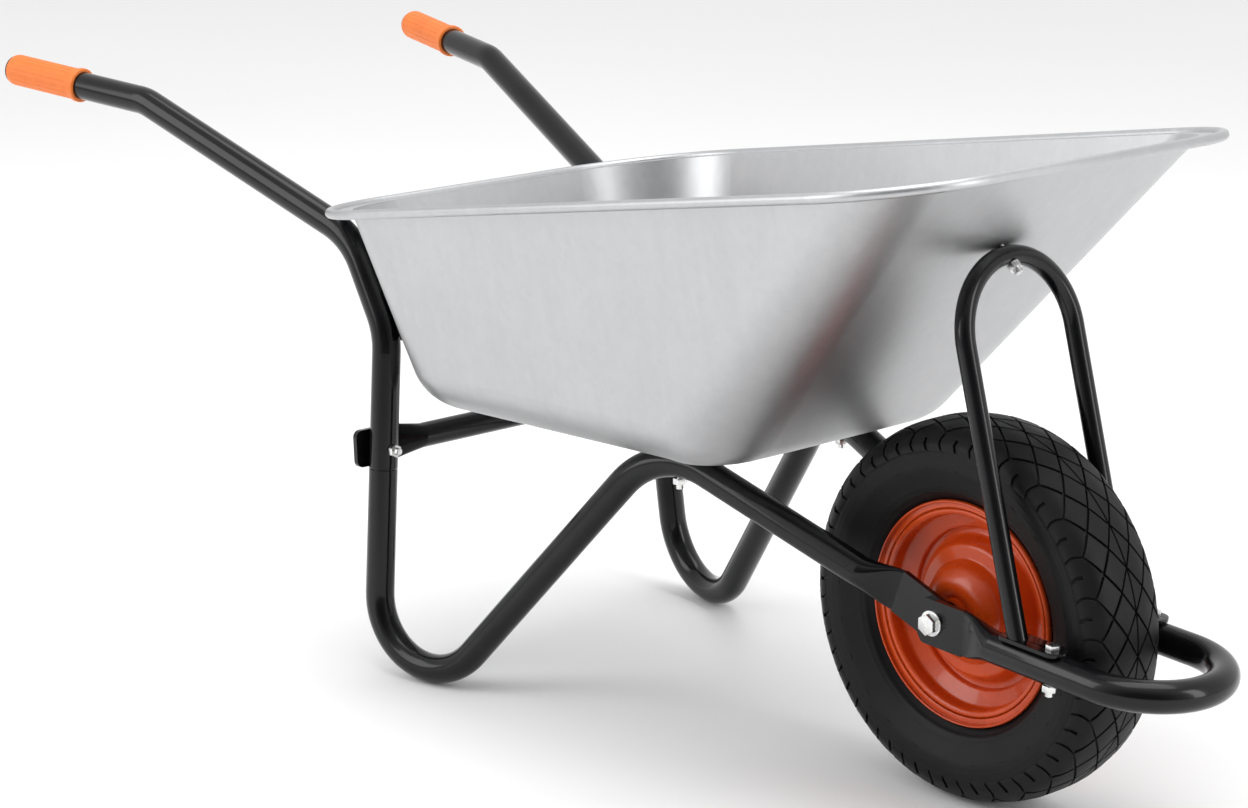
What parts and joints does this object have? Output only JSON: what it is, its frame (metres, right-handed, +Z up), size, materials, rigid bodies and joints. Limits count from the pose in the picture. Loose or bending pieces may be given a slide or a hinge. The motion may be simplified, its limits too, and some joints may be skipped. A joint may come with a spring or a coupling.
{
  "type": "wheelbarrow",
  "caption": "Single-wheel barrow: galvanised steel tray on a bent tubular frame with two legs, fluted grips, front hoop, tray stay and a pneumatic tyre on a pressed disc wheel.",
  "frame": {"origin": "on the ground, below the middle of the overall length and width", "axes": "+X forwards to the wheel and front hoop, +Y to the user's left, +Z up"},
  "size_m": [1.5757, 0.6376, 0.6694],
  "materials": {
    "galvanised_steel": "bright galvanised sheet, softly mottled",
    "black_powder_coat": "gloss black powder coat",
    "orange_grip": "soft orange moulded grip",
    "zinc_fasteners": "bright zinc plate",
    "bearing_steel": "ground bearing steel",
    "brass_cage": "plain brass",
    "tyre_rubber": "satin black tyre rubber",
    "tube_rubber": "smooth butyl rubber",
    "orange_enamel": "gloss orange-red enamel",
    "black_plastic": "moulded cap"
  },
  "bodies": {
    "frame": {"tray": "galvanised_steel", "handle_tube_right": "black_powder_coat", "leg_tube_right": "black_powder_coat", "grip_right": "orange_grip", "tray_strap_right": "black_powder_coat", "stay_foot_right": "black_powder_coat", "handle_tube_left": "black_powder_coat", "leg_tube_left": "black_powder_coat", "grip_left": "orange_grip", "tray_strap_left": "black_powder_coat", "stay_foot_left": "black_powder_coat", "front_hoop": "black_powder_coat", "stay_hoop": "black_powder_coat", "cross_brace": "black_powder_coat", "strap_bolts": "zinc_fasteners", "strap_nuts": "zinc_fasteners", "floor_bolts": "zinc_fasteners", "floor_nuts": "zinc_fasteners", "stay_bolt": "zinc_fasteners", "stay_nut": "zinc_fasteners", "brace_bolts": "zinc_fasteners", "brace_nuts": "zinc_fasteners", "foot_bolts": "zinc_fasteners", "foot_nuts": "zinc_fasteners", "axle_bolt": "zinc_fasteners", "axle_nut": "zinc_fasteners", "axle_washer_right": "zinc_fasteners", "axle_spacer_right": "zinc_fasteners", "bearing_inner_ring_right": "bearing_steel", "axle_washer_left": "zinc_fasteners", "axle_spacer_left": "zinc_fasteners", "bearing_inner_ring_left": "bearing_steel", "hub_sleeve": "zinc_fasteners"},
    "wheel": {"tyre": "tyre_rubber", "inner_tube": "tube_rubber", "wheel_disc_right": "orange_enamel", "wheel_disc_left": "orange_enamel", "hub_tube": "orange_enamel", "valve_stem": "tube_rubber", "valve_cap": "black_plastic", "bearing_outer_ring_right": "bearing_steel", "bearing_shields_right": "bearing_steel", "bearing_outer_ring_left": "bearing_steel", "bearing_shields_left": "bearing_steel"},
    "bearing_cage_right": {"bearing_balls_right": "bearing_steel", "bearing_cage_right": "brass_cage"},
    "bearing_cage_left": {"bearing_balls_left": "bearing_steel", "bearing_cage_left": "brass_cage"}
  },
  "joints": [
    {"name": "wheel_spin", "type": "hinge", "parent": "frame", "child": "wheel", "pos_m": [0.49486, 0, 0.195], "axis": [0, 1, 0], "continuous": true},
    {"name": "cage_spin_right", "type": "hinge", "parent": "frame", "child": "bearing_cage_right", "pos_m": [0.49486, 0, 0.195], "axis": [0, 1, 0], "continuous": true},
    {"name": "cage_spin_left", "type": "hinge", "parent": "frame", "child": "bearing_cage_left", "pos_m": [0.49486, 0, 0.195], "axis": [0, 1, 0], "continuous": true}
  ],
  "couplings": [
    {"joint": "cage_spin_right", "follows": "wheel_spin", "ratio": 0.6349},
    {"joint": "cage_spin_left", "follows": "wheel_spin", "ratio": 0.6349}
  ]
}
